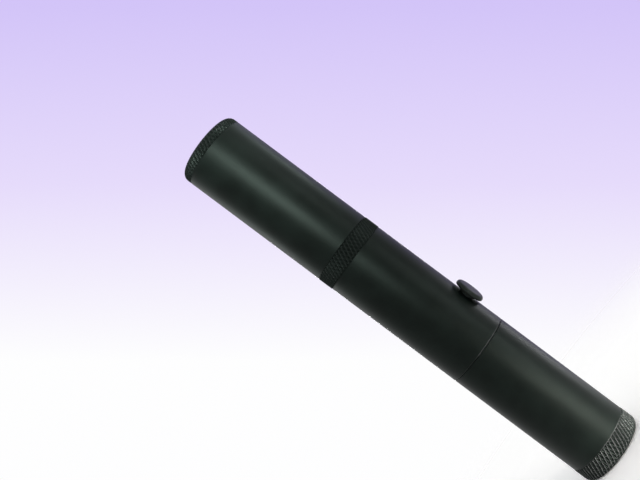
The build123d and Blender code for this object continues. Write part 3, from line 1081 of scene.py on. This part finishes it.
@dataclass
class TailCap(Assembly):
    """The knurled tail cap with its seal and its spring."""

    length: float = 5.9
    corner: float = 2.0
    crest: float = 11.1
    face_radius: float = 9.0
    face_dish: float = 0.1
    centre_radius: float = 0.6
    centre_depth: float = 0.25
    spigot_top: float = 10.9
    groove_low: float = 6.15
    groove_high: float = 7.45
    groove_floor: float = 8.39
    recess_radius: float = 7.0
    recess_floor: float = 2.0
    recess_chamfer: float = 0.15
    seal_centre: float = 8.87
    seal_height: float = 6.8
    seal_radius: float = 0.43
    seal_sides: int = 16
    thread: ThreadForm = ThreadForm(collar=0.15, relief=0.4, start=0.3, lead=0.28)
    contact_spring: Coil = Coil(wire=0.8, foot=6.1, head=2.8, low=2.5, high=12.0, steps=36)

    def build(self) -> None:
        """Builds the cap, its seal and its spring."""
        self.cap()
        self.seal()
        spring = self.contact_spring.wind("tail_battery_spring")
        spring.finish(Body.TAIL_CAP, Slot.WIRE, self.wardrobe, "tail_spring")

    def cap(self) -> None:
        """The knurled cap and its threaded spigot."""
        thread = self.thread
        face = (
            (self.face_radius, 0), (self.face_radius - self.face_dish, self.face_dish),
            (self.centre_radius, self.face_dish), (0, self.centre_depth),
        )
        inside = (
            (KNURL_SHOULDER, self.length), (thread.crest, self.length),
            (thread.crest, self.groove_low), (self.groove_floor, self.groove_low),
            (self.groove_floor, self.groove_high), (thread.crest, self.groove_high),
            *thread.shank(self.groove_high, self.spigot_top),
            (self.recess_radius + self.recess_chamfer, self.spigot_top),
            (self.recess_radius, self.spigot_top - self.recess_chamfer),
            (self.recess_radius, self.recess_floor), (0, self.recess_floor),
        )
        knurl = Knurl(0, self.length, self.crest, low_corner=self.corner)
        piece = knurl.ring("tail_cap_knurled", face, inside)
        thread.cut(piece, self.groove_high, self.spigot_top)
        piece.finish(Body.TAIL_CAP, Slot.KNURL, self.wardrobe, "tail_cap", finish=HANDLED_KNURL)

    def seal(self) -> None:
        """The rubber ring in its groove."""
        piece = Workpiece("tail_seal_ring")
        mesh = bmesh.new()
        bmesh.ops.create_circle(mesh, segments=self.seal_sides, radius=self.seal_radius)
        place = Matrix.Translation((self.seal_centre, 0, self.seal_height))
        upright = Matrix.Rotation(QUARTER_TURN, 4, "X")
        bmesh.ops.transform(mesh, matrix=place @ upright, verts=mesh.verts[:])
        piece.spin(mesh, SMALL_STEPS)
        piece.finish(Body.TAIL_CAP, Slot.RUBBER, self.wardrobe, "tail_o_ring")


@dataclass
class Tube(Assembly):
    """A plain turned tube, with the sizes that the pointer's three share."""

    low: float
    high: float
    radius: float = 11.0
    chamfer: float = 0.18
    rounding: float = 0.054
    thread_bore: float = 9.35
    bore: float = 8.9

    def end(self, height: float, way: int, bore: float) -> Outline:
        """An end's outline from bore to skin, with way 1 at the low end and -1 at the high one."""
        face, skin = self.radius - self.chamfer, height + way * self.chamfer
        return (bore, height), (face, height, self.rounding), (self.radius, skin, self.rounding)

    def shell(self, name: str, high_bore: float, inside: Outline) -> Workpiece:
        """Turns the tube.

        Args:
            name: Its name.
            high_bore: The radius at which the high end's face stops.
            inside: The outline from there down to the low end's thread.

        Returns:
            The tube.
        """
        piece = Workpiece(name)
        low_end = self.end(self.low, 1, self.thread_bore)
        high_end = self.end(self.high, -1, high_bore)
        piece.turn((*low_end, *reversed(high_end), *inside))
        return piece

    def stepped_shell(self, name: str, high_step: float, low_step: float) -> Workpiece:
        """Turns the tube with a bore that is wider for a thread at each end.

        Args:
            name: Its name.
            high_step: The height where the high thread's bore starts.
            low_step: The height where the low thread's bore ends.

        Returns:
            The tube.
        """
        inside = (
            (self.thread_bore, high_step), (self.bore, high_step), (self.bore, low_step),
            (self.thread_bore, low_step),
        )
        return self.shell(name, self.thread_bore, inside)


@dataclass
class BatteryTube(Tube):
    """The rear tube, the cell inside it and the front contact's spring."""

    low: float = 5.9
    high: float = 48.3
    spigot_top: float = 53.3
    thread_top: float = 11.5
    bay_radius: float = 8.7
    bay_top: float = 47.2
    neck_radius: float = 6.45
    flange_radius: float = 7.55
    flange_floor: float = 50.3
    thread: ThreadForm = ThreadForm(collar=0.5, relief=0.75, start=0.65)
    contact_spring: Coil = Coil(wire=0.5, foot=2.4, head=2.4, low=46.2, high=53.3, steps=32)

    def build(self) -> None:
        """Builds the tube, the cell and the spring."""
        self.tube()
        Cell(self.wardrobe).build()
        spring = self.contact_spring.wind("positive_contact_spring")
        spring.finish(Body.HOUSING, Slot.WIRE, self.wardrobe, "positive_spring")

    def tube(self) -> None:
        """The tube with its bay, its rear thread's bore and its front spigot."""
        inside = (
            *self.thread.shank(self.high, self.spigot_top),
            (self.flange_radius, self.spigot_top), (self.flange_radius, self.flange_floor),
            (self.neck_radius, self.flange_floor), (self.neck_radius, self.bay_top),
            (self.bay_radius, self.bay_top), (self.bay_radius, self.thread_top),
            (self.thread_bore, self.thread_top),
        )
        piece = self.shell("battery_tube_turned", self.thread.crest, inside)
        self.thread.cut(piece, self.high, self.spigot_top)
        piece.finish(Body.HOUSING, Slot.BARREL, self.wardrobe, "battery_tube")


@dataclass
class Cell(Assembly):
    """The sleeved battery cell: a crimped shoulder, an insulating ring and a nub."""

    radius: float = 8.4
    low: float = 12.0
    high: float = 45.0
    base_radius: float = 6.2
    base_step: float = 0.2
    base_depth: float = 0.15
    bead_low: float = 41.6
    bead_middle: float = 42.0
    bead_high: float = 42.4
    bead_depth: float = 0.25
    ring_outside: float = 6.3
    ring_inside: float = 6.1
    ring_depth: float = 0.35
    nub_radius: float = 3.0
    nub_flare: float = 0.9
    nub_rise: float = 0.1
    nub_top: float = 46.2
    base_rounding: float = 0.1
    skirt_rounding: float = 0.6
    bead_rounding: float = 0.3
    shoulder_rounding: float = 0.7
    lip_rounding: float = 0.2
    ring_rounding: float = 0.15
    nub_rounding: float = 0.35

    def build(self) -> None:
        """Builds the cell."""
        piece = Workpiece("battery_cell_sleeved")
        base, ring_floor = self.low + self.base_depth, self.high - self.ring_depth
        outline = (
            (0, base),
            (self.base_radius, base, self.base_rounding),
            (self.base_radius + self.base_step, self.low, self.base_rounding),
            (self.radius, self.low, self.skirt_rounding),
            (self.radius, self.bead_low, self.bead_rounding),
            (self.radius - self.bead_depth, self.bead_middle, self.bead_rounding),
            (self.radius, self.bead_high, self.bead_rounding),
            (self.radius, self.high, self.shoulder_rounding),
            (self.ring_outside, self.high, self.lip_rounding),
            (self.ring_inside, ring_floor, self.ring_rounding),
            (self.nub_radius + self.nub_flare, ring_floor, self.ring_rounding),
            (self.nub_radius, self.high + self.nub_rise, self.lip_rounding),
            (self.nub_radius, self.nub_top, self.nub_rounding),
            (0, self.nub_top),
        )
        piece.turn(outline, steps=SMALL_STEPS)
        piece.finish(Body.CELL, Slot.SLEEVE, self.wardrobe, "battery_cell")


@dataclass
class SwitchSection(Tube):
    """The middle tube, with the push button that stands out of it."""

    low: float = 48.3
    high: float = 92.0
    thread_bottom: float = 86.4
    board_top: float = 54.5
    button_height: float = 60.45
    hole_radius: float = 2.45
    hole_sides: int = 48
    stem_radius: float = 2.4
    stem_low: float = 3.3
    stem_rounding: float = 0.25
    groove_low: float = 7.42
    groove_high: float = 7.98
    groove_radius: float = 1.9
    head_low: float = 11.65
    head_high: float = 13.4
    head_radius: float = 4.5
    head_underside: float = 0.3
    head_rounding: float = 0.15
    rim_rounding: float = 0.75
    crown: float = 0.4
    crown_inset: float = 0.02
    crown_rounding: float = 1.9

    def build(self) -> None:
        """Builds the tube and the button."""
        piece = self.stepped_shell("switch_body_turned", self.thread_bottom, self.board_top)
        self.drill(piece.finish(Body.HOUSING, Slot.BARREL, self.wardrobe, "switch_body"))
        self.button()

    def to_button(self) -> Matrix:
        """Lays a piece that was turned about +Z on the button's axis."""
        return Matrix.Translation((0, 0, self.button_height)) @ Matrix.Rotation(QUARTER_TURN, 4, "Y")

    def drill(self, tube: bpy.types.Object) -> None:
        """Cuts the stem's way through the tube's wall.

        Args:
            tube: The finished tube.
        """
        mesh = bmesh.new()
        bmesh.ops.create_cone(
            mesh,
            cap_ends=True,
            segments=self.hole_sides,
            radius1=self.hole_radius,
            radius2=self.hole_radius,
            depth=self.radius,
            matrix=self.to_button() @ Matrix.Translation((0, 0, self.radius)),
        )
        to_metres(mesh)
        data = to_data("stem_drill", mesh)
        drill = add_object("stem_drill", data)
        cut = tube.modifiers.new("stem_way", "BOOLEAN")
        cut.operation = "DIFFERENCE"
        cut.solver = "EXACT"
        cut.object = drill
        bpy.context.view_layer.update()
        drilled = tube.evaluated_get(bpy.context.evaluated_depsgraph_get())
        cut_mesh = bpy.data.meshes.new_from_object(drilled)
        tube.modifiers.remove(cut)
        tube.data = cut_mesh
        bpy.data.objects.remove(drill)
        bpy.data.meshes.remove(data)

    def button(self) -> None:
        """The button: a crowned head with a rolled rim, an undercut and the grooved stem."""
        piece = Workpiece("push_button_crowned")
        outline = (
            (0, self.stem_low),
            (self.stem_radius, self.stem_low, self.stem_rounding),
            (self.stem_radius, self.groove_low), (self.groove_radius, self.groove_low),
            (self.groove_radius, self.groove_high), (self.stem_radius, self.groove_high),
            (self.stem_radius, self.head_low, self.head_rounding),
            (self.head_radius - self.head_underside, self.head_low, self.head_rounding),
            (self.head_radius, self.head_low + self.head_underside, self.head_rounding),
            (self.head_radius, self.head_high - self.crown, self.rim_rounding),
            (self.head_radius / 2, self.head_high - self.crown_inset, self.crown_rounding),
            (0, self.head_high),
        )
        piece.turn(outline, steps=SMALL_STEPS, round_steps=6)
        piece.move(self.to_button())
        piece.finish(Body.BUTTON, Slot.BUTTON, self.wardrobe, "push_button")


@dataclass
class CentreRing(Assembly):
    """The knurled ring between the tubes, with a threaded spigot each way."""

    low: float = 92.0
    length: float = 4.7
    crest: float = 11.1
    spigot: float = 5.0
    bore: float = 7.95
    thread: ThreadForm = ThreadForm()

    def build(self) -> None:
        """Builds the ring."""
        high = self.low + self.length
        ends = ((self.low, self.low - self.spigot), (high, high + self.spigot))
        below, above = (self.thread.spigot(shoulder, tip, self.bore) for shoulder, tip in ends)
        piece = Knurl(self.low, self.length, self.crest).ring("centre_ring_knurled", below, above)
        for shoulder, tip in ends:
            self.thread.cut(piece, shoulder, tip)
        piece.finish(Body.HOUSING, Slot.KNURL, self.wardrobe, "centre_ring")


@dataclass
class FrontBarrel(Tube):
    """The plain front tube over the laser module."""

    low: float = 96.7
    high: float = 142.2
    low_thread_top: float = 101.7
    high_thread_bottom: float = 136.6

    def build(self) -> None:
        """Builds the tube."""
        piece = self.stepped_shell("front_barrel_turned", self.high_thread_bottom, self.low_thread_top)
        piece.finish(Body.HOUSING, Slot.BARREL, self.wardrobe, "front_barrel")


@dataclass
class FrontBezel(Assembly):
    """The knurled bezel round the beam exit, with its window."""

    low: float = 142.2
    length: float = 3.2
    crest: float = 11.0
    corner: float = 2.0
    spigot: float = 5.0
    pocket: float = 6.55
    lip: float = 1.5
    aperture: float = 4.0
    mouth: float = 0.4
    window: float = 6.5
    window_thickness: float = 1.0
    window_bevel: float = 0.12
    thread: ThreadForm = ThreadForm()

    def build(self) -> None:
        """Builds the bezel and the window."""
        self.bezel()
        self.glass()

    def bezel(self) -> None:
        """The bezel with its chamfered mouth."""
        front, tip = self.low + self.length, self.low - self.spigot
        below = (*self.thread.spigot(self.low, tip, self.pocket), (self.pocket, front - self.lip))
        above = (
            (self.aperture + self.mouth, front), (self.aperture, front - self.mouth),
            (self.aperture, front - self.lip),
        )
        knurl = Knurl(self.low, self.length, self.crest, high_corner=self.corner)
        piece = knurl.ring("front_bezel_knurled", below, above)
        self.thread.cut(piece, self.low, tip)
        piece.finish(Body.HOUSING, Slot.KNURL, self.wardrobe, "front_bezel")

    def glass(self) -> None:
        """The flat window with its ground edge bevels."""
        piece = Workpiece("aperture_window_polished")
        top = self.low + self.length - self.lip
        outline = (
            (0, top - self.window_thickness),
            (self.window, top - self.window_thickness, self.window_bevel),
            (self.window, top, self.window_bevel), (0, top),
        )
        piece.turn(outline, steps=SMALL_STEPS, round_steps=2)
        piece.finish(Body.HOUSING, Slot.GLASS, self.wardrobe, "aperture_window")


# Studio


@dataclass(frozen=True)
class PhotoCamera:
    """The camera that saw the pointer, solved from its seams, ends and widths.

    The photograph is cut from one side of a wider frame, so the lens is shifted.
    """

    distance: float = 274.874
    height: float = 80.143
    azimuth: float = 12.3
    yaw: float = -2.801
    pitch: float = 0.508
    roll: float = 53.276
    lens: float = 53.966
    shift: float = -0.1406
    sensor: float = 36.0
    sight: Span = (0.01, 50.0)

    def matrix(self) -> Matrix:
        """Works out where the camera stands.

        Returns:
            Its place in metres.
        """
        stand = Matrix.Translation(Vector((0, -self.distance, self.height)) * MM)
        level = Matrix.Rotation(QUARTER_TURN, 4, "X")
        turn = Matrix.Rotation(math.radians(self.yaw), 4, "Y")
        tip = Matrix.Rotation(math.radians(self.pitch), 4, "X")
        lean = Matrix.Rotation(-math.radians(self.roll), 4, "Z")
        return Matrix.Rotation(math.radians(self.azimuth), 4, "Z") @ stand @ level @ turn @ tip @ lean

    def build(self) -> None:
        """Adds the camera."""
        data = bpy.data.cameras.new("photo_camera")
        data.sensor_width = self.sensor
        data.lens = self.lens
        data.shift_x = self.shift
        data.clip_start, data.clip_end = self.sight
        camera = add_object("photo_camera", data)
        camera.matrix_world = self.matrix()
        bpy.context.scene.camera = camera


@dataclass(frozen=True)
class SoftBox:
    """A soft lamp with a grid, which stands round the pointer and faces its axis."""

    name: str
    azimuth: float
    height: float
    distance: float
    width: float
    tall: float
    power: float
    aim: float
    grid: float
    colour: Colour = (1.0, 1.0, 1.0)

    def build(self) -> None:
        """Adds the lamp, turned to the height that it aims at."""
        data = bpy.data.lights.new(self.name, "AREA")
        data.shape = "RECTANGLE"
        data.size = self.width * MM
        data.size_y = self.tall * MM
        data.energy = self.power
        data.color = self.colour
        data.spread = math.radians(self.grid)
        turn = math.radians(self.azimuth)
        spot = Vector((math.sin(turn) * self.distance, -math.cos(turn) * self.distance, self.height)) * MM
        facing = (Vector((0, 0, self.aim * MM)) - spot).to_track_quat("-Z", "Y")
        lamp = add_object(self.name, data)
        lamp.visible_camera = False
        lamp.matrix_world = Matrix.Translation(spot) @ facing.to_matrix().to_4x4()


@dataclass
class Studio:
    """The pale floor, the backdrop, the soft lamps and the camera."""

    camera: PhotoCamera = PhotoCamera()
    top: Colour = (0.650, 0.555, 0.939)
    middle: Colour = (0.790, 0.710, 0.966)
    bottom: Colour = (0.990, 0.990, 0.995)
    backdrop_foot: float = -0.1261
    backdrop_reach: float = 0.3695
    backdrop_edge: Span = (0.30, 0.85)
    least_ahead: float = 0.2
    room: Colour = (0.62, 0.64, 0.63)
    white: Colour = (1.0, 1.0, 1.0)
    ambient: float = 0.6
    floor_size: float = 1200.0
    floor_tiles: int = 8
    floor_fade: Span = (30.0, 190.0)
    floor_colour: Colour = (0.90, 0.90, 0.91)
    floor_shown: Colour = (1.27, 1.27, 1.28)
    lamps: tuple[SoftBox, ...] = (  # name, azimuth, height, distance, width, tall, power, aim, grid, colour
        SoftBox("front_soft_box", 16.5, 191.0, 600.0, 353.0, 104.0, 0.55, 211.0, 24.3, (0.92, 1.0, 0.96)),
        SoftBox("tail_soft_box", 54.0, 10.0, 420.0, 290.0, 40.0, 0.16, -15.0, 12.5, (1.0, 0.94, 0.88)),
        SoftBox("tail_fill_box", 40.0, 20.0, 420.0, 300.0, 60.0, 0.058, 0.0, 14.0, (1.0, 0.94, 0.88)),
        SoftBox("tail_side_box", 75.0, 10.0, 600.0, 300.0, 120.0, 0.05, -10.0, 20.0),
        SoftBox("front_side_box", 80.0, 200.0, 600.0, 300.0, 120.0, 0.062, 215.0, 22.0),
        SoftBox("right_front_rim", 130.0, 200.0, 600.0, 300.0, 60.0, 0.023, 165.0, 12.0, (0.86, 1.0, 0.93)),
        SoftBox("right_tail_rim", 135.0, -60.0, 600.0, 300.0, 120.0, 0.035, -20.0, 16.0),
        SoftBox("left_front_rim", -117.0, 210.0, 600.0, 300.0, 140.0, 0.028, 215.0, 22.0, (0.88, 1.0, 0.95)),
        SoftBox("back_soft_box", 192.3, 90.0, 600.0, 220.0, 200.0, 0.22, 72.7, 34.0, (0.95, 1.0, 0.97)),
    )

    def build(self) -> None:
        """Builds the studio."""
        self.camera.build()
        self.backdrop()
        self.floor()
        for lamp in self.lamps:
            lamp.build()
        bpy.context.scene.view_settings.view_transform = "Standard"

    def seen(self, graph: Graph) -> Signal:
        """Tells the rays that look at the backdrop from those that light the pointer.

        Args:
            graph: The graph of the backdrop or floor.

        Returns:
            1 for the rays that look and 0 for the others.
        """
        path = graph.node("LightPath")
        kinds = ("Camera", "Glossy", "Transmission")
        camera, glossy, clear = (Signal(graph, path.outputs[f"Is {kind} Ray"]) for kind in kinds)
        return camera | glossy | clear

    def backdrop(self) -> None:
        """The world: a pale backdrop from lavender to white behind the pointer, and an even light."""
        world = bpy.data.worlds.new("backdrop")
        bpy.context.scene.world = world
        graph = Graph(world)
        place = self.camera.matrix()
        look = graph.signal("TexCoord", output="Generated")
        ahead = graph.along(look, -place.col[2].to_3d())
        climb = graph.along(look, place.col[1].to_3d()) / (ahead | self.least_ahead)
        stops = ((0.0, self.bottom), (0.5, self.middle), (1.0, self.top))
        share = (climb - self.backdrop_foot) / self.backdrop_reach
        ramp = graph.signal("ValToRGB", {"stops": stops}, {0: share})
        behind = graph.mix(graph.rise(ahead, *self.backdrop_edge), self.room, ramp)
        shown = graph.signal("Background", None, {"Color": behind, "Strength": 1.0})
        light = graph.signal("Background", None, {"Color": self.white, "Strength": self.ambient})
        graph.close(graph.signal("MixShader", None, {0: self.seen(graph), 1: light, 2: shown}))

    def floor(self) -> None:
        """The pale floor, which fades into the backdrop away from the pointer."""
        mesh = bmesh.new()
        tiles, half = self.floor_tiles, self.floor_size / 2 * MM
        bmesh.ops.create_grid(mesh, x_segments=tiles, y_segments=tiles, size=half)
        floor = add_object("studio_floor", to_data("studio_floor", mesh))
        material = bpy.data.materials.new("pale_floor")
        graph = Graph(material)
        radius, _, _ = graph.around()
        colour = graph.mix(self.seen(graph), self.floor_colour, self.floor_shown)
        matt = graph.signal("BsdfDiffuse", None, {"Color": colour})
        clear = graph.signal("BsdfTransparent", None, {"Color": self.white})
        fade = graph.rise(radius, *self.floor_fade)
        graph.close(graph.signal("MixShader", None, {0: fade, 1: matt, 2: clear}))
        floor.data.materials.append(material)


def main() -> None:
    """Builds the studio and the pointer, sub-assembly by sub-assembly."""
    logging.basicConfig(level=logging.INFO, format="%(message)s")
    Studio().build()
    wardrobe = Wardrobe(FINISHES)
    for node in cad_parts.values():
        wardrobe.dress_node(node)
    for kind in (TailCap, BatteryTube, SwitchSection, CentreRing, FrontBarrel, FrontBezel):
        kind(wardrobe).build()
        logger.info("%s is in place", kind.__name__)


if __name__ == "__main__":
    main()
